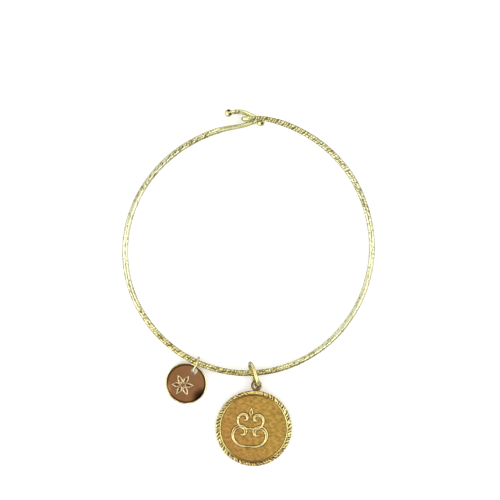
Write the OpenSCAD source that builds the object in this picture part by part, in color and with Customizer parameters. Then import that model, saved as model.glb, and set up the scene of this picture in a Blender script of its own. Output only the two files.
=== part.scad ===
// Charm bangle lying on a table: a hand-bent wire ring sprung shut by two
// interlocked hooks, with a large and a small round charm on jump rings.
// Millimetres. Z is up, z = 0 is the table, and the origin is the middle of
// the ring. +Y points to the hooks, and the charms lie toward -Y.

/* [Bangle wire] */
// Diameter of the ring, on the middle of its wire
bangle_d = 63.5; // [60:0.5:66]
// Thickness of the wire round the ring
wire_d = 1.55; // [1.2:0.05:1.55]
// Thickness of the wire where it is drawn down for the hooks
hook_d = 1.2; // [1:0.05:1.25]
// Diameter of the ball that ends each hook
ball_d = 2; // [1.6:0.05:2]
// Height of the ring's middle over the table
lift = 2.07; // [2.07:0.01:2.15]

/* [Large charm] */
// Diameter over the lobes of the rim
large_d = 19.7; // [19.2:0.1:19.8]
// Diameter of the matte field inside the rim
field_d = 17; // [16.6:0.1:17.2]
// Thickness of the rim
rim_t = 1.5; // [1.2:0.1:1.6]
// Thickness of the field
field_t = 0.9; // [0.7:0.1:1.1]
// Number of hammered lobes round the rim
lobes = 72; // [60:1:84]
// Thickness of the small wire loop soldered to the rim
loop_wire = 0.72; // [0.6:0.02:0.74]
// Diameter of the loop, on the middle of its wire
loop_d = 2.2; // [2.18:0.01:2.24]
// Height of the raised ornament over the field
relief_t = 0.3; // [0.2:0.05:0.4]

/* [Small charm] */
// Diameter of the small charm
small_d = 10.8; // [10.4:0.1:10.9]
// Thickness of the small charm
small_t = 0.65; // [0.5:0.05:0.7]
// Diameter of the hole through the small charm
small_bore_d = 1.6; // [1.55:0.05:1.65]

/* [Jump rings] */
// Outside diameter of the large jump ring
large_ring_d = 7.4; // [7.35:0.05:7.5]
// Wire of the large jump ring
large_ring_wire = 0.9; // [0.8:0.02:0.92]
// Outside diameter of the small jump ring
small_ring_d = 4.8; // [4.75:0.05:4.9]
// Wire of the small jump ring
small_ring_wire = 0.62; // [0.5:0.02:0.64]

/* [Hidden] */

gold = [0.83, 0.74, 0.44];
deep_gold = [0.70, 0.53, 0.26];
brown_gold = [0.58, 0.40, 0.25];

// The stations below are those of a ring of this diameter, and everything at
// the ring's edge moves out or in with it by this much.
plain_bangle_d = 63.5;
grown = (bangle_d - plain_bangle_d) / 2;

wire_sides = 14;
neck_d = 1.1;
ball_rings = 7;
// Rings of points between two stations: a few, and one more for each length.
least_steps = 3;
step_long = 3.2;
// How far from the middle of the clasp the wire has its hook and its full size.
drawn_down = [3, 8];

// Stations round the ring, the long way from hook to hook: the angle, how far
// the hand-bent wire strays outward from a true circle, and how far it rises.
ring_way = [
    [102, -0.36, 0],
    [118, -0.63, 0],
    [136, -0.60, 0],
    [154, -0.30, 0],
    [176, 0.10, 0],
    [200, 0.38, 0],
    [222, 0.41, -0.06],
    [240, 0.46, -0.12],
    [268, 0.31, -0.12],
    [286, 0.10, -0.06],
    [308, -0.16, 0],
    [334, -0.34, 0],
    [358, -0.24, 0],
    [382, 0.04, 0],
    [396, 0.42, 0.05],
    [406, 0.62, 0.15],
    [416, 0.90, 0.40],
    [427, 1.23, 0.85],
    [436, 1.57, 1.25],
];
// The left end: a flat turn back on itself, from the neck of its ball inward.
// Each station is x, y and height over the ring's middle.
left_hook = [
    [-4.50, 34.98, 0],
    [-3.45, 35.14, 0],
    [-2.20, 35.12, 0],
    [-0.95, 34.86, 0],
    [0.35, 34.22, 0],
    [1.30, 33.72, 0],
    [1.63, 33.20, 0],
    [1.36, 32.72, 0],
    [0.55, 32.38, 0],
    [-0.96, 31.80, 0],
    [-2.94, 31.36, 0],
];
// The right end: over the left turn, down between its two legs and back below.
right_hook = [
    [5.60, 32.98, 1.40],
    [3.36, 33.42, 1.45],
    [1.00, 33.42, 1.45],
    [-0.45, 33.40, 1.40],
    [-1.25, 33.38, 1.00],
    [-1.54, 33.36, 0.05],
    [-1.25, 33.30, -0.98],
    [-0.45, 33.16, -1.40],
    [0.60, 32.92, -1.44],
    [1.45, 32.72, -1.30],
    [2.13, 32.60, -1.18],
];

// Where the charms hang on the ring, as an angle round it.
large_hangs = -88;
small_hangs = -114;
// Where the charms and their rings lie: middle in plan, and the way they point.
large_at = [1.12, -46.15] + grown * [cos(large_hangs), sin(large_hangs)];
large_turn = -3.95;
small_at = [-16.23, -34.66] + grown * [cos(small_hangs), sin(small_hangs)];
small_turn = -34;
large_ring_at = [1.20, -32.45] + grown * [cos(large_hangs), sin(large_hangs)];
large_ring_turn = -72.5;
large_ring_lean = -8.5;
small_ring_at = [-13.73, -29.98] + grown * [cos(small_hangs), sin(small_hangs)];
small_ring_turn = 248.5;
small_ring_lean = 0;
// How far each charm tips up on its far edge, carried by its ring.
large_tilt = 4.1;
small_tilt = 5.8;

// The loop on the large charm: its middle from the charm's, and its solder,
// which starts this far inside the rim's edge.
loop_out = 11.08;
solder_w = 1.5;
solder_deep = 1;
lobe_deep = 0.12;
lobe_steps = 6;
bead_d = 0.45;

// Sides of a turned outline, of a round wire and of a drilled hole.
turned = 96;
wire_round = 32;
// How far a drill runs past both faces.
overrun = 1;

// The ornament's scrolls: eye x and y, radius at the foot, share of it left at
// the eye, angle at the foot and at the eye, and width of the widest line.
scrolls = [
    [2.05, -1.45, 4.00, 0.13, -121, 300, 1.00],
    [1.60, 2.20, 2.95, 0.14, -123, 290, 0.80],
];
scroll_steps = 36;
scroll_thin = 0.3;
// A leaf's widest place: 1 is its middle, and less is nearer its foot.
leaf_belly = 0.75;
leaf_steps = 12;
// The bud over the scrolls: its foot, length and width.
bud = [3, 2.1, 1.1];
ornament_at = [-0.9, 0.2];

small_bore_at = 3.87;
// The small charm's flower: how far out a petal starts, its length and width,
// and the same for the hollow in it.
petals = 6;
petal = [0.45, 2.5, 1.3];
petal_hollow = [0.85, 1.7, 0.75];
flower_at = [-0.5, -0.8];
flower_t = relief_t / 2;

// How deep the raised ornaments are sunk into the metal under them.
rooted = 0.1;

function unit(v) = v / norm(v);

// Direction at a station: the nearer neighbour counts for more.
function heading(p, i) =
    i == 0 ? unit(p[1] - p[0]) :
    i == len(p) - 1 ? unit(p[i] - p[i - 1]) :
    let (a = p[i] - p[i - 1], b = p[i + 1] - p[i])
        unit(unit(a) * norm(b) + unit(b) * norm(a));

// One smooth point between two stations, a share t of the way.
function between(a, b, from, to, t) =
    let (l = norm(b - a))
        a * (2 * pow(t, 3) - 3 * pow(t, 2) + 1) + b * (3 * pow(t, 2) - 2 * pow(t, 3))
        + from * l * (pow(t, 3) - 2 * pow(t, 2) + t) + to * l * (pow(t, 3) - pow(t, 2));

function smooth(p) = [
    for (i = [0 : len(p) - 2])
        let (n = least_steps + round(norm(p[i + 1] - p[i]) / step_long))
            for (j = [0 : n - 1])
                between(p[i], p[i + 1], heading(p, i), heading(p, i + 1), j / n),
    p[len(p) - 1]
];

// A direction across the wire at every point, carried along without twisting.
function across(way, first) = [
    for (i = 0, s = first; i < len(way); i = i + 1,
         s = i < len(way) ? unit(s - (s * heading(way, i)) * heading(way, i)) : s) s
];

// A closed skin over rings of points, all with the same number of points.
module skin(rings) {
    n = len(rings[0]);
    last = (len(rings) - 1) * n;
    polyhedron(
        points = [for (r = rings, p = r) p],
        faces = concat(
            [[for (k = [0 : n - 1]) k]],
            [for (i = [0 : len(rings) - 2], k = [0 : n - 1])
                [i * n + k, (i + 1) * n + k, (i + 1) * n + (k + 1) % n, i * n + (k + 1) % n]],
            [[for (k = [n - 1 : -1 : 0]) last + k]]
        ),
        convexity = 8
    );
}

// A ring of points round a place on the wire.
function hoop(place, way, side, r) =
    let (up = cross(way, side))
        [for (k = [0 : wire_sides - 1])
            place + r * (side * cos(360 * k / wire_sides) + up * sin(360 * k / wire_sides))];

// The ball on a wire's end, as rings from its pole to its neck or back.
function ball(neck, out, side, from_pole) =
    let (r = ball_d / 2, neck_a = asin(neck_d / ball_d), middle = neck + out * r * cos(neck_a))
        [for (k = [1 : ball_rings])
            let (s = from_pole ? k : ball_rings + 1 - k,
                 a = (180 - neck_a) * s / (ball_rings + 1))
                hoop(middle + out * r * cos(a), from_pole ? -out : out, side, r * sin(a))];

module bangle_wire() {
    ring = [for (s = ring_way) let (r = bangle_d / 2 + s[1]) [r * cos(s[0]), r * sin(s[0]), s[2]]];
    out = [0, grown, 0];
    way = smooth(concat([for (p = left_hook) p + out], ring, [for (p = right_hook) p + out]));
    sides = across(way, [0, 0, 1]);
    end = len(way) - 1;
    color(gold) translate([0, 0, lift]) skin(concat(
        ball(way[0], -heading(way, 0), sides[0], true),
        [for (i = [0 : end])
            let (at_clasp = way[i][1] > 0, from_clasp = abs(way[i][0]),
                 sized = [[drawn_down[0], hook_d], [drawn_down[1], wire_d]],
                 d = i == 0 || i == end ? neck_d : at_clasp ? lookup(from_clasp, sized) : wire_d)
                hoop(way[i], heading(way, i), sides[i], d / 2)],
        ball(way[end], heading(way, end), sides[end], false)
    ));
}

// A wire ring lying flat round the Z axis.
module wire_ring(d, thick)
    rotate_extrude($fn = turned) translate([d / 2, 0]) circle(d = thick, $fn = wire_round);

// A jump ring standing on the table, over the ring's wire and through its charm.
module jump_ring(outside, thick, at, turn, lean)
    translate([at[0], at[1], (outside - thick) / 2 * cos(lean) + thick / 2])
        rotate([0, 0, turn]) rotate([90 + lean, 0, 0]) wire_ring(outside - thick, thick);

// Sets a charm down on its far edge, tipped up toward its ring.
module lay(at, turn, tilt, d)
    translate([at[0], at[1], 0]) rotate([0, 0, turn])
        translate([0, -d / 2, 0]) rotate([tilt, 0, 0]) translate([0, d / 2, 0]) children();

// Places on a spiral that closes in on its eye from radius r to r * close.
function spiral(eye, r, close, from, to) = [
    for (i = [0 : scroll_steps])
        let (t = i / scroll_steps, a = from + (to - from) * t)
            eye + r * pow(close, t) * [cos(a), sin(a)]
];

// A flat line along a way, wide in the middle and thin at its ends.
module stroke(way, thin, wide) {
    last = len(way) - 1;
    half = [for (i = [0 : last])
        let (d = heading(way, i)) [-d[1], d[0]] * (thin + (wide - thin) * sin(180 * i / last)) / 2];
    polygon(concat([for (i = [0 : last]) way[i] + half[i]],
                   [for (i = [last : -1 : 0]) way[i] - half[i]]));
}

// A pointed leaf that starts at the origin and points along Y.
module leaf(long, wide) {
    edge = [for (i = [0 : leaf_steps])
        let (t = i / leaf_steps) [wide / 2 * sin(180 * pow(t, leaf_belly)), long * t]];
    polygon(concat(edge, [for (i = [leaf_steps - 1 : -1 : 1]) [-edge[i][0], edge[i][1]]]));
}

// Two tiers of mirrored scrolls under a bud.
module scrollwork() {
    for (side = [0, 1], s = scrolls) mirror([side, 0])
        stroke(spiral([s[0], s[1]], s[2], s[3], s[4], s[5]), scroll_thin, s[6]);
    translate([0, bud[0]]) leaf(bud[1], bud[2]);
}

// A flower of hollow petals.
module flower()
    for (k = [0 : petals - 1]) rotate(360 * k / petals)
        difference() {
            translate([0, petal[0]]) leaf(petal[1], petal[2]);
            translate([0, petal_hollow[0]]) leaf(petal_hollow[1], petal_hollow[2]);
        }

module large_disc() {
    rim = [for (i = [0 : lobes * lobe_steps - 1])
        let (a = 360 * i / (lobes * lobe_steps), lobe = abs(cos(180 * i / lobe_steps)))
            (large_d / 2 - lobe_deep * (1 - lobe)) * [cos(a), sin(a)]];
    solder_from = large_d / 2 - solder_deep;
    color(deep_gold) lay(large_at, large_turn, large_tilt, large_d) {
        difference() {
            linear_extrude(rim_t) polygon(rim);
            translate([0, 0, field_t]) cylinder(d = field_d, h = rim_t, $fn = turned);
        }
        translate([0, 0, field_t]) wire_ring(field_d, bead_d);
        translate([0, loop_out, rim_t / 2]) wire_ring(loop_d, loop_wire);
        translate([-solder_w / 2, solder_from, (rim_t - loop_wire) / 2])
            cube([solder_w, loop_out - loop_d / 2 - solder_from, loop_wire]);
        translate([ornament_at[0], ornament_at[1], field_t - rooted])
            linear_extrude(relief_t + rooted) scrollwork();
    }
}

module small_disc() {
    color(brown_gold) lay(small_at, small_turn, small_tilt, small_d) {
        difference() {
            union() {
                cylinder(d = small_d - small_t, h = small_t, $fn = turned);
                translate([0, 0, small_t / 2]) wire_ring(small_d - small_t, small_t);
            }
            translate([0, small_bore_at, -overrun])
                cylinder(d = small_bore_d, h = small_t + 2 * overrun, $fn = wire_round);
        }
        translate([flower_at[0], flower_at[1], small_t - rooted])
            linear_extrude(flower_t + rooted) flower();
    }
}

module large_jump_ring()
    color(gold) jump_ring(large_ring_d, large_ring_wire, large_ring_at, large_ring_turn, large_ring_lean);

module small_jump_ring()
    color(gold) jump_ring(small_ring_d, small_ring_wire, small_ring_at, small_ring_turn, small_ring_lean);

bangle_wire();
large_disc();
large_jump_ring();
small_disc();
small_jump_ring();
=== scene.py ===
import math

import bmesh
import bpy
import numpy as np
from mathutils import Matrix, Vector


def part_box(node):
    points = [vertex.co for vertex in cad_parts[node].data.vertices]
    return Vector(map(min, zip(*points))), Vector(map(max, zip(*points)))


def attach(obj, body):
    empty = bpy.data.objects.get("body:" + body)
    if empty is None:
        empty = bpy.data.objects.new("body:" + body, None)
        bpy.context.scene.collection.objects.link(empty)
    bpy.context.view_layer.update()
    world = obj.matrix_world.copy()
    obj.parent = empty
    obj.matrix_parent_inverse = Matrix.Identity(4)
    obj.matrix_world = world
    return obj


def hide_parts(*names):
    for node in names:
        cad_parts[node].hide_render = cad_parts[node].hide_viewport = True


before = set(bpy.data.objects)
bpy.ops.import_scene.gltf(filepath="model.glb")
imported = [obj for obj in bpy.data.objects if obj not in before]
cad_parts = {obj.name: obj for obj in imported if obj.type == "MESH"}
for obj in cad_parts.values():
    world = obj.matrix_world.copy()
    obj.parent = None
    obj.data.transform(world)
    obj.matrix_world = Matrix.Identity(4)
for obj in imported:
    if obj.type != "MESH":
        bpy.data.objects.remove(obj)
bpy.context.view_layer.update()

MM = 0.001
SEED = 7
random = np.random.default_rng(SEED)

# Sizes of the solids, in millimetres
RING_D, WIRE_D, HOOK_D, NECK_D, BALL_D = 63.5, 1.55, 1.2, 1.1, 2.0
LIFT = 2.07
DRAWN_DOWN = ((3, HOOK_D), (8, WIRE_D))
LARGE_D, FIELD_Z, RIM_T = 19.7, 0.9, 1.5
LOOP_OUT, LOOP_D, LOOP_WIRE = 11.08, 2.2, 0.72
SMALL_D, SMALL_T, BORE_AT, BORE_D = 10.8, 0.65, 3.87, 1.6
LARGE_RING = dict(outside=7.4, thick=0.9, at=(1.20, -32.45), turn=-72.5, lean=-8.5)
SMALL_RING = dict(outside=4.8, thick=0.62, at=(-13.73, -29.98), turn=248.5, lean=0)
LARGE_LIES = dict(at=(1.12, -46.15), turn=-3.95, tilt=4.1, d=LARGE_D)
SMALL_LIES = dict(at=(-16.23, -34.66), turn=-34, tilt=5.8, d=SMALL_D)

# Stations of the wire: angle, stray outward and rise round the ring, then x, y and height at each hook
RING_WAY = (
    (102, -0.36, 0), (118, -0.63, 0), (136, -0.60, 0), (154, -0.30, 0), (176, 0.10, 0),
    (200, 0.38, 0), (222, 0.41, -0.06), (240, 0.46, -0.12), (268, 0.31, -0.12), (286, 0.10, -0.06),
    (308, -0.16, 0), (334, -0.34, 0), (358, -0.24, 0), (382, 0.04, 0), (396, 0.42, 0.05),
    (406, 0.62, 0.15), (416, 0.90, 0.40), (427, 1.23, 0.85), (436, 1.57, 1.25),
)
LEFT_HOOK = (
    (-4.50, 34.98, 0), (-3.45, 35.14, 0), (-2.20, 35.12, 0), (-0.95, 34.86, 0), (0.35, 34.22, 0),
    (1.30, 33.72, 0), (1.63, 33.20, 0), (1.36, 32.72, 0), (0.55, 32.38, 0), (-0.96, 31.80, 0),
    (-2.94, 31.36, 0),
)
RIGHT_HOOK = (
    (5.60, 32.98, 1.40), (3.36, 33.42, 1.45), (1.00, 33.42, 1.45), (-0.45, 33.40, 1.40),
    (-1.25, 33.38, 1.00), (-1.54, 33.36, 0.05), (-1.25, 33.30, -0.98), (-0.45, 33.16, -1.40),
    (0.60, 32.92, -1.44), (1.45, 32.72, -1.30), (2.13, 32.60, -1.18),
)


# Curves

def unit(v):
    return v / np.linalg.norm(v, axis=-1, keepdims=True)


def headings(p):
    """Direction at each station; the nearer neighbour counts for more."""
    step = np.diff(p, axis=0)
    length = np.linalg.norm(step, axis=1)[:, None]
    inner = unit(step[:-1]) * length[1:] + unit(step[1:]) * length[:-1]
    return unit(np.vstack([step[:1], inner, step[-1:]]))


def smooth(p, spacing):
    """A smooth way through the stations, with a point about every spacing."""
    turn = headings(p)
    parts = []
    for a, b, leaves, comes in zip(p[:-1], p[1:], turn[:-1], turn[1:]):
        length = np.linalg.norm(b - a)
        count = max(2, round(length / spacing))
        t = np.arange(count)[:, None] / count
        parts.append(
            a * (2 * t**3 - 3 * t**2 + 1) + b * (3 * t**2 - 2 * t**3)
            + leaves * length * (t**3 - 2 * t**2 + t) + comes * length * (t**3 - t**2)
        )
    return np.vstack(parts + [p[-1:]])


def across(turn, first):
    """A direction across the way at every point, carried along without twisting."""
    sides = [np.array(first, float)]
    for h in turn[1:]:
        s = sides[-1]
        sides.append(unit(s - s.dot(h) * h))
    return np.array(sides)


def ramp(low, high, x):
    """0 below low, 1 above high, and smooth between."""
    t = np.clip((x - low) / (high - low), 0, 1)
    return t * t * (3 - 2 * t)


# Meshes

def placed(name, data):
    """A new object in the scene."""
    made = bpy.data.objects.new(name, data)
    bpy.context.scene.collection.objects.link(made)
    return made


def mesh_piece(name, points, faces, material, node, tone_and_painted_light=None, sharp=60):
    """A piece from points in millimetres, with a tone at each point that is mostly painted highlight and
    painted shade.

    A piece that replaces a node is kept inside that node's box.
    """
    if node:
        points = np.clip(points, *(np.array(corner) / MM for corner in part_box(node)))
    mesh = bpy.data.meshes.new(name)
    mesh.from_pydata((np.asarray(points) * MM).tolist(), [], faces)
    if tone_and_painted_light is not None:
        mesh.attributes.new("tone_and_painted_light", "FLOAT", "POINT").data.foreach_set("value", tone_and_painted_light.astype(np.float32))
    mesh.validate()
    shell = bmesh.new()
    shell.from_mesh(mesh)
    bmesh.ops.recalc_face_normals(shell, faces=shell.faces)
    shell.to_mesh(mesh)
    shell.free()
    mesh.shade_smooth()
    mesh.set_sharp_from_angle(angle=math.radians(sharp))
    piece = placed(name, mesh)
    mesh.materials.append(material)
    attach(piece, "root")
    if node:
        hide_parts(node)
    return piece


def skin(rows, n, closed=False):
    """Faces over rows of n points each, every row a ring."""
    faces = []
    for i in range(rows if closed else rows - 1):
        a, b = i * n, (i + 1) % rows * n
        faces += [(a + k, b + k, b + (k + 1) % n, a + (k + 1) % n) for k in range(n)]
    return faces


def capped(rows, n, first, last):
    """The same, with a pole at each end that closes it."""
    faces = skin(rows, n)
    end = (rows - 1) * n
    faces += [(first, k, (k + 1) % n) for k in range(n)]
    faces += [(last, end + (k + 1) % n, end + k) for k in range(n)]
    return faces


def turned(x, y, degrees):
    """Two coordinates, turned by an angle."""
    a = math.radians(degrees)
    return x * math.cos(a) - y * math.sin(a), x * math.sin(a) + y * math.cos(a)


def laid(points, at, turn, tilt, d):
    """Sets a charm down on its far edge, tipped up toward its ring."""
    y, z = turned(points[:, 1] + d / 2, points[:, 2], tilt)
    x, y = turned(points[:, 0], y - d / 2, turn)
    return np.stack([at[0] + x, at[1] + y, z], 1)


def sines(x, waves):
    """A sum of sines, each with its size, its pace and its start in radians."""
    return sum(size * np.sin(pace * x + start) for size, pace, start in waves)


# Hammer marks: small flat cuts at a slant, with soft ridges between them

# How deep, long and slanted the cuts are, how many there are, and how far the longest reaches
CUT_DEEP = (0.010, 0.060)
CUT_LONG = 0.36
CUT_SLANT = (15, 60)
CUTS_PER_MM2 = 3.4
CUT_REACH = 0.9
# From one cut to the next round the wire, in radians, and how far each strays, in steps along the wire
# and in radians round it
CUT_TURN = 2.399
CUT_STRAYS = (0.5, 0.35)
RIDGE_SOFT = 0.004
# How many times that softness a cut's height counts, above which it leaves no mark
RIDGE_REACH = 20
# The cuts are drawn shallower than the painted shade on them, as they are half worn away
SHALLOW = 0.4
# How deep a cut takes painted shade, from where to where
CUT_SHADE_SPAN = (0.020, 0.055)
# And how deep its painted shade turns nearly black
PIT_SHADE_SPAN = (0.07, 0.15)


def hammered(along, around, radius, closed_length=None):
    """How far the cuts sink a round wire, in millimetres, at each place along and around it."""
    length = closed_length or along[-1]
    count = int(length * 2 * math.pi * radius * CUTS_PER_MM2)
    spot = (np.arange(count) + random.uniform(-CUT_STRAYS[0], CUT_STRAYS[0], count)) * length / count
    angle = np.arange(count) * CUT_TURN + random.uniform(-CUT_STRAYS[1], CUT_STRAYS[1], count)
    deep = random.uniform(*CUT_DEEP, count)
    slant = np.radians(random.uniform(*CUT_SLANT, count))
    if closed_length:
        near, far = spot < CUT_REACH, spot > length - CUT_REACH
        spot = np.concatenate([spot[far] - length, spot, spot[near] + length])
        angle, deep, slant = (np.concatenate([v[far], v, v[near]]) for v in (angle, deep, slant))
    order = np.argsort(spot)
    spot, angle, deep, slant = spot[order], angle[order], deep[order], slant[order]
    window = int(2 * CUT_REACH * count / length)
    first = np.clip(np.searchsorted(spot, along) - window // 2, 0, len(spot) - window)
    near = first[:, None] + np.arange(window)
    p = (along[:, None] - spot[near])[:, None, :]
    turn = around[None, :, None] - angle[near][:, None, :]
    turn = (turn + math.pi) % (2 * math.pi) - math.pi
    q = turn * radius
    s = slant[near][:, None, :]
    curve = deep[near][:, None, :] / CUT_LONG**2
    height = -deep[near][:, None, :] + q**2 / (2 * radius) + curve * (p * np.cos(s) + q * np.sin(s)) ** 2
    height = np.minimum(height, RIDGE_REACH * RIDGE_SOFT)
    return -RIDGE_SOFT * np.log(1 + np.exp(-height / RIDGE_SOFT).sum(2))


# Materials

# From where to where the metal counts as turned away, for its painted edge shade: 0 faces the eye, 1 is edge
# on
TURNS_AWAY = (0.2, 0.6)
# Slanted grain: its angle, and its scale along that
GRAIN_SLANT, GRAIN_DRAWN = -40, 0.6
# Detail of the noise for the mottling and for the bumps, and how many times finer the bumps are
COARSE_DETAIL, FINE_DETAIL, FINER = 3, 4, 3
# The part of the noise's range that the mottling spans
MOTTLE_SPAN = (0.3, 0.7)
WHITE = (1, 1, 1)


def add_node(tree, kind, inputs, **settings):
    """A shader node's outputs. Each of its inputs is a value, or the output that it is linked to."""
    node = tree.nodes.new(kind)
    for name, value in settings.items():
        setattr(node, name, value)
    for name, value in inputs.items():
        if isinstance(value, bpy.types.NodeSocket):
            tree.links.new(value, node.inputs[name])
        else:
            node.inputs[name].default_value = value
    return node.outputs


def noise(tree, place, scale, detail):
    return add_node(tree, "ShaderNodeTexNoise", {"Vector": place, "Scale": scale, "Detail": detail})["Fac"]


def mapped(tree, value, span, onto=(0, 1), soft=False):
    """A value, brought from one span onto another."""
    limits = dict(zip(("From Min", "From Max", "To Min", "To Max"), (*span, *onto)))
    kind = "SMOOTHSTEP" if soft else "LINEAR"
    return add_node(tree, "ShaderNodeMapRange", {"Value": value, **limits}, interpolation_type=kind)["Result"]


def blended(tree, share, first, second):
    """A colour between two others, of which the first can be a node's output."""
    if not isinstance(first, bpy.types.NodeSocket):
        first = (*first, 1)
    inputs = {"Factor": share, "A": first, "B": (*second, 1)}
    return add_node(tree, "ShaderNodeMix", inputs, data_type="RGBA")["Result"]


def scaled(tree, colour, by):
    return add_node(tree, "ShaderNodeVectorMath", {0: colour, "Scale": by}, operation="SCALE")["Vector"]


def toward(tree, place, direction):
    """How far a place lies in a direction."""
    return add_node(tree, "ShaderNodeVectorMath", {0: place, 1: direction}, operation="DOT_PRODUCT")["Value"]


def drifted(tree, place, colour, axis, low, high, low_tint, high_tint):
    """A colour that drifts across a piece, from one place in millimetres along an axis to another."""
    along = toward(tree, place, (*turned(1, 0, axis), 0))
    tint = blended(tree, mapped(tree, along, (low * MM, high * MM), soft=True), low_tint, high_tint)
    return add_node(tree, "ShaderNodeVectorMath", {0: colour, 1: tint}, operation="MULTIPLY")["Vector"]


def metal(name, bright, plain, dark, shine, grain, mottle, bump, slanted=False, painted_edge_shade=0, drifts=()):
    """Gold-coloured metal. Its tone, mostly painted light, runs from painted shade (-1) over plain (0) to
    painted highlights (1).

    shine is the roughness where it is plain and where it is bright, and grain is the size of the
    mottling in millimetres, which is drawn out at a slant if slanted. The painted edge shade is how much
    darker it is painted where it turns away from the eye. Each of the drifts has an axis, the places and the
    tints.
    """
    material = bpy.data.materials.new(name)
    material.use_nodes = True
    tree = material.node_tree
    shader = tree.nodes["Principled BSDF"]
    shader.inputs["Metallic"].default_value = 1
    place = add_node(tree, "ShaderNodeTexCoord", {})["Object"]
    drawn = add_node(tree, "ShaderNodeMapping", {
        "Vector": place,
        "Rotation": (0, 0, math.radians(GRAIN_SLANT if slanted else 0)),
        "Scale": (GRAIN_DRAWN if slanted else 1, 1, 1),
    })["Vector"]
    coarse = noise(tree, drawn, 1 / (grain * MM), COARSE_DETAIL)
    fine = noise(tree, place, FINER / (grain * MM), FINE_DETAIL)
    tone_and_painted_light = add_node(tree, "ShaderNodeAttribute", {}, attribute_name="tone_and_painted_light")["Fac"]
    facing = add_node(tree, "ShaderNodeLayerWeight", {})["Facing"]

    # The tone paints highlights toward the bright colour and shade toward the dark one
    colour = blended(tree, mapped(tree, tone_and_painted_light, (0, 1)), plain, bright)
    colour = blended(tree, mapped(tree, tone_and_painted_light, (0, -1)), colour, dark)
    colour = scaled(tree, colour, mapped(tree, coarse, MOTTLE_SPAN, (1 - mottle, 1 + mottle)))
    # Painted shade where the metal turns away from the eye
    colour = scaled(tree, colour, mapped(tree, facing, TURNS_AWAY, (1, 1 - painted_edge_shade), soft=True))
    for drift in drifts:
        colour = drifted(tree, place, colour, *drift)
    bumps = add_node(tree, "ShaderNodeBump", {"Strength": 1, "Distance": bump * MM, "Height": fine})["Normal"]
    tree.links.new(colour, shader.inputs["Base Color"])
    tree.links.new(mapped(tree, tone_and_painted_light, (0, 1), shine), shader.inputs["Roughness"])
    tree.links.new(bumps, shader.inputs["Normal"])
    return material


textured_gold = metal(
    "textured_gold", bright=(0.81, 0.81, 0.54), plain=(0.23, 0.20, 0.06), dark=(0.05, 0.04, 0.01),
    shine=(0.18, 0.08), grain=0.5, mottle=0.06, bump=0.002, painted_edge_shade=0.65,
    drifts=((-105, 18, 32, WHITE, (1.01, 0.93, 0.70)), (90, 24, 34, WHITE, (1, 0.97, 0.78))))
polished_gold = metal(
    "polished_gold", bright=(0.84, 0.76, 0.36), plain=(0.62, 0.48, 0.20), dark=(0.22, 0.13, 0.03),
    shine=(0.14, 0.07), grain=0.6, mottle=0.04, bump=0.001, painted_edge_shade=0.8)
eyelet_gold = metal(
    "eyelet_gold", bright=(0.80, 0.62, 0.40), plain=(0.20, 0.13, 0.05), dark=(0.05, 0.03, 0.01),
    shine=(0.16, 0.12), grain=0.5, mottle=0.2, bump=0.003, painted_edge_shade=0.6)
rim_gold = metal(
    "rim_gold", bright=(0.94, 0.84, 0.36), plain=(0.17, 0.11, 0.03), dark=(0.06, 0.04, 0.01),
    shine=(0.20, 0.12), grain=0.4, mottle=0.16, bump=0.006, painted_edge_shade=0.5,
    drifts=((90, -42, -38, WHITE, (0.98, 0.82, 0.70)), (90, -55, -50, (0.90, 0.78, 0.78), WHITE)))
field_gold = metal(
    "field_gold", bright=(0.98, 0.88, 0.42), plain=(0.45, 0.275, 0.068), dark=(0.10, 0.05, 0.01),
    shine=(0.45, 0.25), grain=0.55, mottle=0.36, bump=0.014, slanted=True,
    drifts=((20, -25, -7, (1.0, 0.92, 1.0), (1.02, 1.05, 1.0)),))
# The small charm's gold: its plain brown, which the face takes, is a painted reflection, and its bright
# colour is painted on as highlights
charm_gold = metal(
    "charm_gold", bright=(0.84, 0.74, 0.50), plain=(0.67, 0.44, 0.28), dark=(0.14, 0.09, 0.04),
    shine=(0.06, 0.14), grain=0.9, mottle=0.06, bump=0.0006, painted_edge_shade=0.4,
    drifts=((0, -20, -11, (0.93, 0.92, 0.82), (1.0, 1.03, 1.0)),))


# The bangle's wire

WIRE_STEP = 0.11
WIRE_SIDES = 44
BALL_RINGS = 22
# Painted dark reflections on the hooks' balls, as directions from their middle
BALL_PAINTED_REFLECTIONS = (
    dict(at=(0.05, 0.66, 0.75), inner=0.34, outer=0.52),
    dict(at=(0.42, -0.28, 0.85), inner=0.22, outer=0.45),
)
# How far a painted reflection counts as on the ball, in its radii, and from bright to dark on the tone scale
BALL_REACH, BRIGHT_TO_DARK = 1.01, 2
# How far from the middle of the clasp the left and right arm turn from smooth to hammered
LEFT_SMOOTH, RIGHT_SMOOTH = (3.0, 12.0), (-1.0, 1.5)
# Measured from the wire's end: its neck grows to the hook's width and is over, and the hammering
# starts, in full and on the hooks
NECK_GROWN, NECK_OVER = 0.8, 1
TEXTURE_STARTS, HOOK_TEXTURE_STARTS = (5, 9), (0.5, 1.5)
# Notches by the left hook's ball: where they start and end, and how deep they are
BY_BALL_STARTS, BY_BALL_ENDS = (0.3, 0.8), (1.2, 2.5)
HOOK_NOTCH = 0.10
# The clasp's place on the way round the ring, in degrees: past it, angles go on over 360
CLASP_ANGLE = 100
# Share of the hammering that is left on the smooth hooks
HOOK_TEXTURE = 0.2
# How deep slanted notches cut the wire, by the angle round the ring, and how far apart they are
NOTCH_DEEP = (
    (110, 0.03), (150, 0.0), (200, 0.015), (245, 0.06), (280, 0.03), (320, 0.0), (390, 0.03),
    (412, 0.06), (428, 0.10),
)
NOTCH_PITCH = 0.75
NOTCH_SHARP = 3
# How the notches stray from even steps, as sines along the wire
NOTCH_STRAYS = ((1.3, 1.7, 0), (0.9, 4.3, 1))
# How strong the hammering is, by the angle round the ring
TEXTURE_STRENGTH = (
    (110, 1.35), (135, 1.3), (155, 1.0), (190, 0.8), (215, 1.25), (245, 1.3), (290, 1.1), (312, 1.05),
    (340, 0.75), (365, 0.85), (395, 1.4), (425, 0.7),
)


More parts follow.
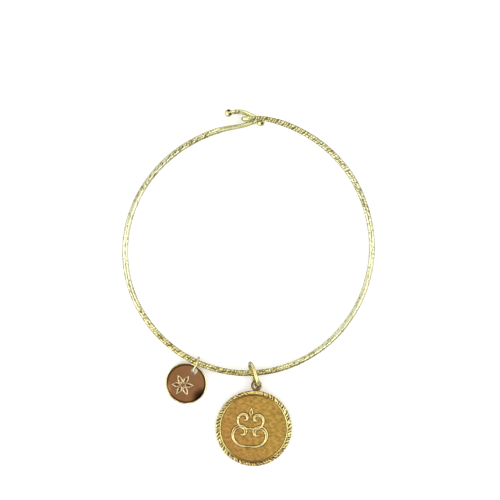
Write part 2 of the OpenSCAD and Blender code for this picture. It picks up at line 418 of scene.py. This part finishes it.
def ball_rings(neck, out, side, from_pole):
    """Rings of a hook's ball, from its pole to its neck or back."""
    r = BALL_D / 2
    neck_a = math.asin(NECK_D / BALL_D)
    middle = neck + out * r * math.cos(neck_a)
    way = np.cross(-out if from_pole else out, side)
    a = (math.pi - neck_a) * np.arange(1, BALL_RINGS + 1) / (BALL_RINGS + 1)
    a = a if from_pole else a[::-1]
    theta = 2 * math.pi * np.arange(WIRE_SIDES) / WIRE_SIDES
    spoke = side * np.cos(theta)[:, None] + way * np.sin(theta)[:, None]
    rings = middle + out * (r * np.cos(a))[:, None, None] + spoke[None] * (r * np.sin(a))[:, None, None]
    return rings, middle + out * r


def make_bangle_wire():
    ring = [(*turned(RING_D / 2 + stray, 0, a), rise) for a, stray, rise in RING_WAY]
    way = smooth(np.array([*LEFT_HOOK, *ring, *RIGHT_HOOK], float), WIRE_STEP)
    turn = headings(way)
    sides = across(turn, (0, 0, 1))
    along = np.concatenate([[0], np.cumsum(np.linalg.norm(np.diff(way, axis=0), axis=1))])
    theta = 2 * math.pi * np.arange(WIRE_SIDES) / WIRE_SIDES

    at_clasp = way[:, 1] > 0
    thick = np.where(at_clasp, np.interp(np.abs(way[:, 0]), *zip(*DRAWN_DOWN)), WIRE_D)
    from_end = np.minimum(along, along[-1] - along)
    neck_thick = NECK_D + (HOOK_D - NECK_D) * ramp(0, NECK_GROWN, from_end)
    thick = np.where(from_end > NECK_OVER, thick, np.minimum(thick, neck_thick))
    textured = np.where(
        at_clasp,
        np.where(way[:, 0] < 0, ramp(*LEFT_SMOOTH, -way[:, 0]), ramp(*RIGHT_SMOOTH, way[:, 0])),
        1,
    )
    round_it = np.degrees(np.arctan2(way[:, 1], way[:, 0])) % 360
    round_it[(np.arange(len(way)) > len(way) / 2) & (round_it < CLASP_ANGLE)] += 360
    textured = np.maximum(
        textured * ramp(*TEXTURE_STARTS, from_end), HOOK_TEXTURE * ramp(*HOOK_TEXTURE_STARTS, from_end))
    by_ball = ramp(*BY_BALL_STARTS, along) * (1 - ramp(*BY_BALL_ENDS, along))
    strength = np.interp(round_it, *zip(*TEXTURE_STRENGTH)) * textured + by_ball
    phase = 2 * math.pi * along / NOTCH_PITCH + sines(along, NOTCH_STRAYS)
    notch = (0.5 - 0.5 * np.cos(2 * theta[None, :] + phase[:, None])) ** NOTCH_SHARP
    notched = -np.interp(round_it, *zip(*NOTCH_DEEP)) * textured - HOOK_NOTCH * by_ball
    sunk = hammered(along, theta, WIRE_D / 2) * strength[:, None] + notched[:, None] * notch
    r = thick[:, None] / 2 + SHALLOW * sunk
    up = np.cross(turn, sides)
    spoke = sides[:, None] * np.cos(theta)[None, :, None] + up[:, None] * np.sin(theta)[None, :, None]
    tube = way[:, None] + r[:, :, None] * spoke

    start, start_pole = ball_rings(way[0], -turn[0], sides[0], True)
    end, end_pole = ball_rings(way[-1], turn[-1], sides[-1], False)
    rings = np.concatenate([start, tube, end])
    points = np.concatenate([rings.reshape(-1, 3), [start_pole, end_pole]])
    points[:, 2] += LIFT
    rows = len(rings)
    tone_and_painted_light = np.ones(len(points))
    # Painted shade in the deeper cuts of the wire
    tone_and_painted_light[BALL_RINGS * WIRE_SIDES:(BALL_RINGS + len(way)) * WIRE_SIDES] = (
        1 - ramp(*CUT_SHADE_SPAN, -sunk) - ramp(*PIT_SHADE_SPAN, -sunk)).ravel()
    # Painted dark reflections on both balls
    for neck, out in ((way[0], -turn[0]), (way[-1], turn[-1])):
        middle = neck + out * BALL_D / 2 * math.cos(math.asin(NECK_D / BALL_D)) + (0, 0, LIFT)
        on_ball = np.linalg.norm(points - middle, axis=1) < BALL_D / 2 * BALL_REACH
        for patch in BALL_PAINTED_REFLECTIONS:
            gap = np.linalg.norm((points - middle) / (BALL_D / 2) - unit(np.array(patch["at"])), axis=1)
            tone_and_painted_light -= BRIGHT_TO_DARK * on_ball * (1 - ramp(patch["inner"], patch["outer"], gap))
    tone_and_painted_light = np.maximum(tone_and_painted_light, -1)
    faces = capped(rows, WIRE_SIDES, rows * WIRE_SIDES, rows * WIRE_SIDES + 1)
    return mesh_piece("bangle_wire", points, faces, textured_gold, "bangle_wire", tone_and_painted_light)


make_bangle_wire()


# Jump rings

RING_STEPS, RING_SIDES = 144, 32


def torus(major, minor, steps=RING_STEPS, sides=RING_SIDES):
    """Points of a wire ring round the Z axis, and its faces."""
    a = 2 * math.pi * np.arange(steps) / steps
    b = 2 * math.pi * np.arange(sides) / sides
    out = major + minor * np.cos(b)[None, :]
    rise = np.tile(minor * np.sin(b), (steps, 1))
    points = np.stack([out * np.cos(a)[:, None], out * np.sin(a)[:, None], rise], -1).reshape(-1, 3)
    return points, skin(steps, sides, closed=True)


def make_jump_ring(name, outside, thick, at, turn, lean):
    points, faces = torus((outside - thick) / 2, thick / 2)
    y, z = turned(points[:, 1], points[:, 2], 90 + lean)
    x, y = turned(points[:, 0], y, turn)
    middle = (outside - thick) / 2 * math.cos(math.radians(lean)) + thick / 2
    points = np.stack([x + at[0], y + at[1], z + middle], 1)
    return mesh_piece(name, points, faces, polished_gold, name, np.ones(len(points)))


make_jump_ring("large_jump_ring", **LARGE_RING)
make_jump_ring("small_jump_ring", **SMALL_RING)


# Raised ornament: lines with two edges painted bright, a hollow between them, and painted shade in hollow and
# grooves

SCROLLS = (
    dict(eye=(2.05, -1.45), r=4.00, close=0.13, start=-121, stop=300, wide=1.0),
    dict(eye=(1.60, 2.20), r=2.95, close=0.14, start=-123, stop=290, wide=0.8),
)
SCROLL_THIN, SCROLL_HIGH = 0.3, 0.27
SCROLL_EDGE, PETAL_EDGE, GROOVE = 0.17, 0.13, 0.14
BUD = dict(foot=(0, 3), tip=(0, 5.1), wide=1.1)
# A leaf's widest place: 1 is its middle, and less is nearer its foot
LEAF_BELLY = 0.75
ORNAMENT_AT = np.array([-0.9, 0.2])
# How far a ridge's foot goes into the metal, and the groove beside it shows over the metal
ROOTED, GROOVE_RISE = 0.08, 0.004
# The widest that a ridge's edge gets, as a share of its half width
EDGE_LIMIT = 0.45
# How many edges wide half a ridge is where its hollow starts, and where it is in full
HOLLOWED = (1.5, 3)
# From a ridge's foot to its hollow. How far out each row lies: grooves out, millimetres out, edges in.
# Then its rise and how much of it a hollow takes, and its tone, from painted shade (-1) to painted highlight
# (1), and how much of it a hollow takes
RIDGE = (
    (1, 0, 0, 0, 0, 0, 0),
    (1, 0, 0, 0, 0, -1, 0),
    (0, 0.02, 0, 0.02, 0, -1, 0),
    (0, 0, 0.3, 0.8, 0, 0.5, 0),
    (0, 0, 1, 1, 0, 1, 0),
    (0, 0, 1.7, 1, 0.15, 1, 0.8),
    (0, 0, 2.6, 1, 0.8, 1, 1.9),
)


def spiral(eye, r, close, start, stop, steps=90):
    t = np.arange(steps + 1) / steps
    a = np.radians(start + (stop - start) * t)
    reach = r * close**t
    return np.stack([eye[0] + reach * np.cos(a), eye[1] + reach * np.sin(a)], 1)


def swelling(steps, thin, wide):
    return (thin + (wide - thin) * np.sin(math.pi * np.arange(steps) / (steps - 1))) / 2


def leaf(foot, tip, wide, steps=40):
    """A pointed leaf as a straight line that swells: its places and its half widths."""
    t = np.linspace(0, 1, steps)
    way = np.array(foot) + np.outer(t, np.array(tip, float) - foot)
    return way, wide / 2 * np.sin(math.pi * t**LEAF_BELLY)


def raised(lines, foot, high, edge, groove):
    """Closed ridges along flat lines: points, faces, and the tone at each point, with painted highlights and
    painted shade.
    """
    points, faces, tone_and_painted_light = [], [], []
    beside, skirt, inward, up, sinks, shown, shade_in_hollow = np.array(RIDGE).T
    for way, half in lines:
        d = headings(way)
        left = np.stack([-d[:, 1], d[:, 0]], 1)
        e = np.minimum(edge, EDGE_LIMIT * half)[:, None]
        hollow = ramp(*(n * edge for n in HOLLOWED), half)[:, None]
        out = half[:, None] + beside * groove + skirt - np.minimum(inward * e, half[:, None])
        # The tone paints highlights on the edges and shade in the grooves and the hollow
        rise, tone = (up - sinks * hollow) * high, shown - shade_in_hollow * hollow
        across_it = np.concatenate([-out, np.zeros((len(way), 1)), out[:, ::-1]], 1)
        over = np.concatenate([rise, rise[:, -1:], rise[:, ::-1]], 1)
        tones = np.concatenate([tone, tone[:, -1:], tone[:, ::-1]], 1)
        spread = way[:, None] + across_it[:, :, None] * left[:, None]
        over[:, [0, -1]] = -ROOTED
        over[:, [1, -2]] = GROOVE_RISE
        grid = np.concatenate([spread, over[:, :, None] + foot], -1).reshape(-1, 3)
        n = across_it.shape[1]
        start = sum(len(q) for q in points)
        ends = [(*(way[0] - d[0] * half[0]), foot - ROOTED), (*(way[-1] + d[-1] * half[-1]), foot - ROOTED)]
        faces += [tuple(start + v for v in f) for f in capped(len(way), n, len(grid), len(grid) + 1)]
        points.append(np.concatenate([grid, ends]))
        tone_and_painted_light.append(np.concatenate([tones.ravel(), [0, 0]]))
    return np.concatenate(points), faces, np.concatenate(tone_and_painted_light)


def scrollwork():
    lines = []
    for s in SCROLLS:
        way = spiral(s["eye"], s["r"], s["close"], s["start"], s["stop"])
        half = swelling(len(way), SCROLL_THIN, s["wide"])
        lines += [(way + ORNAMENT_AT, half), (way * (-1, 1) + ORNAMENT_AT, half)]
    way, half = leaf(**BUD)
    return lines + [(way + ORNAMENT_AT, half)]


# The large charm: matte field, bead line and a rope-like hammered rim

LOBES, LOBE_STEPS = 72, 14
# Rows of the field: the first, how many even ones, how far inside the bead line they end, and the last
FIELD_FIRST, FIELD_EVEN, FIELD_EVEN_ENDS = 0.08, 16, 0.4
FIELD_LAST = (0.22, 0.16, 0.08, 0.03, 0)
# A painted shade line along the field's edge, by the bead line: how many rows, and how dark
FIELD_EDGE_ROWS, FIELD_EDGE_SHADE = 3, -0.8
# The bead line and the rope: middle, radii, and from where to where they go, in how many points
BEAD_MIDDLE, BEAD_R, BEAD_ARC = (8.70, 0.93), 0.20, (175, 20, 11)
ROPE_MIDDLE, ROPE_WIDE, ROPE_HIGH, ROPE_ARC = (9.28, 0.84), 0.57, 0.64, (156, -58, 34)
# Painted light across the bead line, by its points: a painted highlight on its crest and a painted shade line
# toward the rope
BEAD_LIGHT_AND_SHADE = ((0, 0), (3, 1), (7, 1), (9, -1))
# Where the bead line's painted highlight gives way to painted shade, toward the top and the foot of the
# charm, and how much of it
BEAD_SHADED_SPAN, BEAD_SHADING = (0.62, 1.0), 0.75
# The back: how far outside its radius and how high its edge goes, and its rows
BACK_R = 9.32
BACK_EDGE = ((0.16, 0.13), (0.1, 0.04), (0, 0))
BACK_ROWS = (6.5, 3.5, 0.5)
# The lobes: how slanted, deep and round they are, and sines by which they stray and vary round the rim
ROPE_SLANT = 2.4
LOBE_DEEP, LOBE_ROUND = 0.20, 0.7
LOBE_STRAYS = ((0.9, 5, 1), (0.9, 13, 2), (0.7, 29, 0))
LOBE_VARIES = ((0.35, LOBES / 2, 2), (0.3, 19, 0))
# Angles round the rope's section: where its lobes fade out, inward and outward, and where it turns
# dark toward the bead line, with how dark
ROPE_FADES_IN, ROPE_FADES_OUT = (128, 152), (-58, -35)
ROPE_SHADED, ROPE_SHADE = (126, 146), 1.2
# How deep a mark on the rope takes painted shade, from where to where
ROPE_SHADE_SPAN = (0.02, 0.12)
# How much deeper the rim is hammered than the wire
RIM_HAMMERED = 1.8
# How far to each side of the loop, in degrees, the rim's lobes are worn smooth, and what is left of them
LOOP_ANGLE, SMOOTH_TOP, SMOOTH_LEFT = 90, (7, 17), 0.2


def arc(middle, wide, high, start, stop, count):
    """Points of an arc, and their angles."""
    a = np.radians(np.linspace(start, stop, count))
    return np.stack([middle[0] + wide * np.cos(a), middle[1] + high * np.sin(a)], 1), a


def lathed(r, z, psi, tone, top):
    """Points, faces and tones of a round shape, closed by a pole at each end."""
    rows, steps = r.shape
    points = np.stack([r * np.cos(psi), r * np.sin(psi), z], -1).reshape(-1, 3)
    points = np.concatenate([points, [(0, 0, top), (0, 0, 0)]])
    faces = capped(rows, steps, rows * steps, rows * steps + 1)
    return points, faces, np.concatenate([tone.ravel(), [0, 0]])


def make_large_disc():
    steps = LOBES * LOBE_STEPS
    psi = 2 * math.pi * np.arange(steps) / steps
    inner = BEAD_MIDDLE[0] - BEAD_R
    even = np.linspace(FIELD_FIRST, inner - FIELD_EVEN_ENDS, FIELD_EVEN)
    field_r = np.concatenate([even, inner - np.array(FIELD_LAST)])
    field = np.stack([field_r, np.full(len(field_r), FIELD_Z)], 1)
    bead, _ = arc(BEAD_MIDDLE, BEAD_R, BEAD_R, *BEAD_ARC)
    rope, rope_a = arc(ROPE_MIDDLE, ROPE_WIDE, ROPE_HIGH, *ROPE_ARC)
    back = np.array([*((BACK_R + out, z) for out, z in BACK_EDGE), *((r, 0) for r in BACK_ROWS)])
    profile = np.vstack([field, bead, rope, back])
    rope_from = len(field) + len(bead)
    rope_rows = slice(rope_from, rope_from + len(rope))

    r = np.repeat(profile[:, :1], steps, 1)
    z = np.repeat(profile[:, 1:], steps, 1)
    tone = np.zeros_like(r)

    u = (LOBES * psi + sines(psi, LOBE_STRAYS))[None, :] + ROPE_SLANT * rope_a[:, None]
    crest = np.abs(np.cos(u / 2))
    varied = 1 + sines(psi, LOBE_VARIES)
    rope_deg = np.degrees(rope_a)
    fade = (1 - ramp(*ROPE_FADES_IN, rope_deg)) * ramp(*ROPE_FADES_OUT, rope_deg)
    by_loop = SMOOTH_LEFT + (1 - SMOOTH_LEFT) * ramp(*SMOOTH_TOP, np.abs(np.degrees(psi) - LOOP_ANGLE))
    marks = hammered(psi * ROPE_MIDDLE[0], rope_a, ROPE_WIDE, 2 * math.pi * ROPE_MIDDLE[0]).T
    sunk = (-LOBE_DEEP * varied * (1 - crest**LOBE_ROUND) + RIM_HAMMERED * marks) * fade[:, None] * by_loop
    r[rope_rows] += sunk * np.cos(rope_a)[:, None]
    z[rope_rows] += sunk * np.sin(rope_a)[:, None]
    # Painted shade in the rope's deeper marks and toward the bead line
    tone[rope_rows] = 1 - ramp(*ROPE_SHADE_SPAN, -sunk) - ROPE_SHADE * ramp(*ROPE_SHADED, rope_deg)[:, None]
    # The bead line's painted highlight, fading into painted shade toward the top and the foot
    bright = 1 - BEAD_SHADING * ramp(*BEAD_SHADED_SPAN, np.abs(np.sin(psi)))
    tone[len(field):rope_from] = np.interp(np.arange(len(bead)), *zip(*BEAD_LIGHT_AND_SHADE))[:, None] * bright
    # Painted shade along the field's edge
    tone[len(field) - FIELD_EDGE_ROWS:len(field)] = FIELD_EDGE_SHADE

    points, faces, tone = lathed(r, z, psi, tone, FIELD_Z)
    points = laid(points, **LARGE_LIES)
    piece = mesh_piece("large_disc", points, faces, field_gold, "large_disc", tone)
    piece.data.materials.append(rim_gold)
    shown = np.zeros(len(faces), np.int32)
    shown[(len(field) - 1) * steps:(len(profile) - 1) * steps] = 1
    shown[-steps:] = 1
    piece.data.polygons.foreach_set("material_index", shown)

    points, faces, tone_and_painted_light = raised(scrollwork(), FIELD_Z, SCROLL_HIGH, SCROLL_EDGE, GROOVE)
    mesh_piece("large_disc_scrolls", laid(points, **LARGE_LIES), faces, field_gold, None, tone_and_painted_light)


make_large_disc()


# The large charm's loop and its solder

LOOP_STEPS, LOOP_SIDES = 96, 32
# Painted light on the loop: in the middle of its wire, how much brighter its right side is painted, and its
# limits
LOOP_PAINTED_LIGHT, LOOP_LIGHT_ON_RIGHT, LOOP_LIGHT_LIMITS = 0.1, 1.3, (-0.7, 1)
# The solder, a saddle between rim and loop: how far into each it goes, its half width and half
# height with what they gain at an end, and its polish
SADDLE_ROWS, SADDLE_SIDES = 14, 32
SADDLE_IN_RIM, SADDLE_IN_LOOP = 0.75, 0.1
SADDLE_WIDE, SADDLE_HIGH = (0.62, 0.25), (0.28, 0.10)
SADDLE_POLISH = 0.2


def make_large_loop():
    points, faces = torus(LOOP_D / 2, LOOP_WIRE / 2, LOOP_STEPS, LOOP_SIDES)
    # Painted light on the side that faces the charm's right, and painted shade on its left
    from_middle = np.linalg.norm(points[:, :2], axis=1)
    faces_right = points[:, 0] * (1 - LOOP_D / 2 / from_middle) / (LOOP_WIRE / 2)
    painted_light_and_tone = np.clip(LOOP_PAINTED_LIGHT + LOOP_LIGHT_ON_RIGHT * faces_right, *LOOP_LIGHT_LIMITS)
    points = points + (0, LOOP_OUT, RIM_T / 2)
    rows, n = SADDLE_ROWS, SADDLE_SIDES
    y = np.linspace(LARGE_D / 2 - SADDLE_IN_RIM, LOOP_OUT - LOOP_D / 2 + SADDLE_IN_LOOP, rows)
    t = np.linspace(-1, 1, rows)
    wide = SADDLE_WIDE[0] + SADDLE_WIDE[1] * t**2
    high = SADDLE_HIGH[0] + SADDLE_HIGH[1] * (t < 0) * t**2
    a = 2 * math.pi * np.arange(n) / n
    saddle = np.stack([
        wide[:, None] * np.cos(a), np.repeat(y[:, None], n, 1), RIM_T / 2 + high[:, None] * np.sin(a)
    ], -1).reshape(-1, 3)
    start = len(points)
    faces = faces + [
        tuple(start + v for v in f)[::-1] for f in capped(rows, n, rows * n, rows * n + 1)
    ]
    points = np.concatenate([points, saddle, [(0, y[0], RIM_T / 2), (0, y[-1], RIM_T / 2)]])
    painted_light_and_tone = np.concatenate([painted_light_and_tone, np.full(len(points) - start, SADDLE_POLISH)])
    points = laid(points, **LARGE_LIES)
    return mesh_piece("large_disc_loop", points, faces, eyelet_gold, None, painted_light_and_tone)


make_large_loop()


# The small charm: polished, with rounded edge, drilled hole and a flower of hollow petals

PETALS, FIRST_PETAL = 6, 90
# Where a petal starts and ends, and how wide it is
PETAL = (0.45, 2.95, 1.3)
FLOWER_AT = np.array([-0.5, -0.8])
FLOWER_T = 0.15
SMALL_STEPS, SMALL_RINGS = 300, 40
# The radius of its face's first row, its rounded edge as an arc, the rows of its back, and its sharp angle
SMALL_FIRST, SMALL_EDGE_ARC, SMALL_BACK_ROWS, SMALL_SHARP = 0.05, (80, -90, 16), (3.6, 2.0, 0.3), 35
# How far the face falls off toward its edge, and over how many rows the edge takes that up
CROWN, CROWN_ENDS = 0.16, 4
# The worn lip of the hole: how wide, how deep, and how dark its painted shade is
LIP, LIP_DEEP, LIP_SHADE = 0.22, 0.12, 1.5
# A painted shade line inside the edge: how many rows, and how dark
OUTLINE_ROWS, OUTLINE_SHADE = 4, -0.9
# The drill that makes the hole: its sides, and how far it runs past both faces
DRILL_SIDES, DRILL_OVER = 64, 1


def flower():
    lines = []
    for k in range(PETALS):
        a = math.radians(FIRST_PETAL + 360 * k / PETALS)
        way, half = leaf((0, 0), (PETAL[1] - PETAL[0], 0), PETAL[2])
        out = np.array([math.cos(a), math.sin(a)])
        lines.append((FLOWER_AT + np.outer(PETAL[0] + way[:, 0], out), half))
    return lines


def make_small_disc():
    psi = 2 * math.pi * np.arange(SMALL_STEPS) / SMALL_STEPS
    edge_r = SMALL_T / 2
    flat_r = SMALL_D / 2 - edge_r
    face = np.stack([np.linspace(SMALL_FIRST, flat_r, SMALL_RINGS), np.full(SMALL_RINGS, SMALL_T)], 1)
    edge, _ = arc((flat_r, edge_r), edge_r, edge_r, *SMALL_EDGE_ARC)
    back = np.array([(r, 0) for r in SMALL_BACK_ROWS])
    profile = np.vstack([face, edge, back])
    r = np.repeat(profile[:, :1], SMALL_STEPS, 1)
    z = np.repeat(profile[:, 1:], SMALL_STEPS, 1)
    x, y = r * np.cos(psi), r * np.sin(psi)
    tone = np.zeros_like(r)
    places = np.stack([x[:SMALL_RINGS].ravel(), y[:SMALL_RINGS].ravel()], 1)
    height = -CROWN * ((r[:SMALL_RINGS] / flat_r) ** 2).ravel()
    lip = np.clip(1 - (np.linalg.norm(places - (0, BORE_AT), axis=1) - BORE_D / 2) / LIP, 0, 1)
    height -= LIP_DEEP * (1 - np.sqrt(1 - lip**2))
    z[:SMALL_RINGS] += height.reshape(SMALL_RINGS, SMALL_STEPS)
    z[SMALL_RINGS:SMALL_RINGS + CROWN_ENDS] -= CROWN * np.linspace(1, 0, CROWN_ENDS)[:, None]
    # Painted shade round the hole
    tone[:SMALL_RINGS] = -np.minimum(1, LIP_SHADE * lip).reshape(SMALL_RINGS, SMALL_STEPS)
    # A painted shade line inside the edge
    tone[SMALL_RINGS - OUTLINE_ROWS:SMALL_RINGS] = OUTLINE_SHADE
    # A painted highlight on the rounded edge
    tone[SMALL_RINGS:SMALL_RINGS + len(edge)] = 1
    points, faces, tone = lathed(r, z, psi, tone, SMALL_T)
    points = laid(points, **SMALL_LIES)
    piece = mesh_piece(
        "small_disc", points, faces, charm_gold, "small_disc", tone, SMALL_SHARP)

    n = DRILL_SIDES
    a = 2 * math.pi * np.arange(n) / n
    wall_x, wall_y = BORE_D / 2 * np.cos(a), BORE_AT + BORE_D / 2 * np.sin(a)
    wall_z = np.repeat([-DRILL_OVER, SMALL_T + DRILL_OVER], n)
    wall = np.stack([np.tile(wall_x, 2), np.tile(wall_y, 2), wall_z], 1)
    drill_faces = [(k, (k + 1) % n, n + (k + 1) % n, n + k) for k in range(n)]
    drill_faces += [tuple(range(n - 1, -1, -1)), tuple(range(n, 2 * n))]
    drill_mesh = bpy.data.meshes.new("drill")
    drill_mesh.from_pydata((laid(wall, **SMALL_LIES) * MM).tolist(), [], drill_faces)
    drill = placed("drill", drill_mesh)
    cut = piece.modifiers.new("hole", "BOOLEAN")
    cut.operation, cut.object, cut.solver = "DIFFERENCE", drill, "EXACT"
    bpy.context.view_layer.update()
    bored = bpy.data.meshes.new_from_object(piece.evaluated_get(bpy.context.evaluated_depsgraph_get()))
    piece.modifiers.clear()
    piece.data = bored
    bored.shade_smooth()
    bored.set_sharp_from_angle(angle=math.radians(SMALL_SHARP))
    bpy.data.objects.remove(drill)

    points, faces, tone_and_painted_light = raised(flower(), SMALL_T, FLOWER_T, PETAL_EDGE, GROOVE / 2)
    points[:, 2] -= CROWN * (points[:, 0] ** 2 + points[:, 1] ** 2) / flat_r**2
    mesh_piece("small_disc_flower", laid(points, **SMALL_LIES), faces, charm_gold, None, tone_and_painted_light)


make_small_disc()


# Stage: floor, sky and camera

FLOOR_SIZE = 20.0
PAPER, PAPER_ROUGH, PAPER_GLOW = (0.86, 0.86, 0.86), 0.9, 0.30
SKY_WHITE = (1.08, 1.08, 1.08)


def make_floor():
    mesh = bpy.data.meshes.new("floor")
    s = FLOOR_SIZE / 2
    mesh.from_pydata([(-s, -s, 0), (s, -s, 0), (s, s, 0), (-s, s, 0)], [], [(0, 1, 2, 3)])
    floor = placed("floor", mesh)
    paper = bpy.data.materials.new("paper")
    paper.use_nodes = True
    inputs = paper.node_tree.nodes["Principled BSDF"].inputs
    inputs["Base Color"].default_value = (*PAPER, 1)
    inputs["Roughness"].default_value = PAPER_ROUGH
    inputs["Specular IOR Level"].default_value = 0
    inputs["Emission Color"].default_value = (*WHITE, 1)
    inputs["Emission Strength"].default_value = PAPER_GLOW
    mesh.materials.append(paper)


def sky_direction(from_zenith, azimuth):
    z, a = math.radians(from_zenith), math.radians(azimuth)
    return (math.sin(z) * math.cos(a), math.sin(z) * math.sin(a), math.cos(z))


# What the metal reflects: how far from the zenith, azimuth, inner and outer radius, colour
LAMP, CARD = (3.2, 3.2, 3.1), (0.10, 0.09, 0.05)
SKY_PATCHES = (
    dict(at=(55, 90), inner=20, outer=55, colour=(0.74, 0.73, 0.67)),
    dict(at=(95, 293), inner=14, outer=50, colour=(0.14, 0.13, 0.10)),
    dict(at=(10, 228), inner=6, outer=20, colour=(0.72, 0.68, 0.60)),
    dict(at=(17, 206), inner=6, outer=12, colour=(0.36, 0.33, 0.24)),
    dict(at=(16, 234), inner=9, outer=14, colour=(0.44, 0.31, 0.22)),
    dict(at=(18.3, 266), inner=2, outer=5, colour=(0.03, 0.02, 0.01)),
    *(dict(at=at, inner=4, outer=10, colour=LAMP) for at in (
        (55, 180), (70, 200), (62, 195), (58, 0), (38, 335), (78, 215), (44, 310), (80, 232), (34, 15),
    )),
    *(dict(at=at, inner=2, outer=6, colour=LAMP) for at in (
        (27, 178), (26, 350), (30, 72), (33, 108), (29, 300), (48, 88), (54, 244), (50, 284),
        (45, 62), (30, 236), (62, 74), (68, 246), (28, 40), (44, 212), (60, 36), (25, 218), (46, 110),
        (68, 104),
    )),
    *(dict(at=at, inner=4, outer=11, colour=CARD) for at in (
        (66, 95), (64, 285), (62, 150), (70, 312), (58, 300), (62, 322), (40, 278), (78, 20),
    )),
    *(dict(at=at, inner=2, outer=7, colour=CARD) for at in (
        (44, 160), (22, 20), (32, 205), (38, 92), (34, 252), (20, 95), (46, 352), (66, 70),
    )),
)


def make_sky():
    world = bpy.data.worlds.new("soft_light")
    bpy.context.scene.world = world
    world.use_nodes = True
    tree = world.node_tree
    place = add_node(tree, "ShaderNodeTexCoord", {})["Generated"]
    colour = SKY_WHITE
    for patch in SKY_PATCHES:
        near = toward(tree, place, sky_direction(*patch["at"]))
        span = [math.cos(math.radians(patch[reach])) for reach in ("outer", "inner")]
        colour = blended(tree, mapped(tree, near, span, soft=True), colour, patch["colour"])
    tree.links.new(colour, tree.nodes["Background"].inputs["Color"])


# The photo's frame: its scale, and where the middle of the ring is in it
PX_PER_MM, FRAME_PX = 3.89, 500
RING_MIDDLE_PX = (249.30, 248.55)
LENS, SENSOR, SIGHT = 200, 36, 100


def make_camera():
    data = bpy.data.cameras.new("camera")
    data.lens, data.sensor_width = LENS, SENSOR
    data.clip_end = SIGHT
    camera = placed("camera", data)
    away = FRAME_PX / PX_PER_MM * LENS / SENSOR
    x = (FRAME_PX / 2 - RING_MIDDLE_PX[0]) / PX_PER_MM
    y = (RING_MIDDLE_PX[1] - FRAME_PX / 2) / PX_PER_MM
    camera.location = (x * MM, y * MM, (LIFT + away) * MM)
    bpy.context.scene.camera = camera


make_floor()
make_sky()
make_camera()
bpy.context.scene.view_settings.view_transform = "Standard"
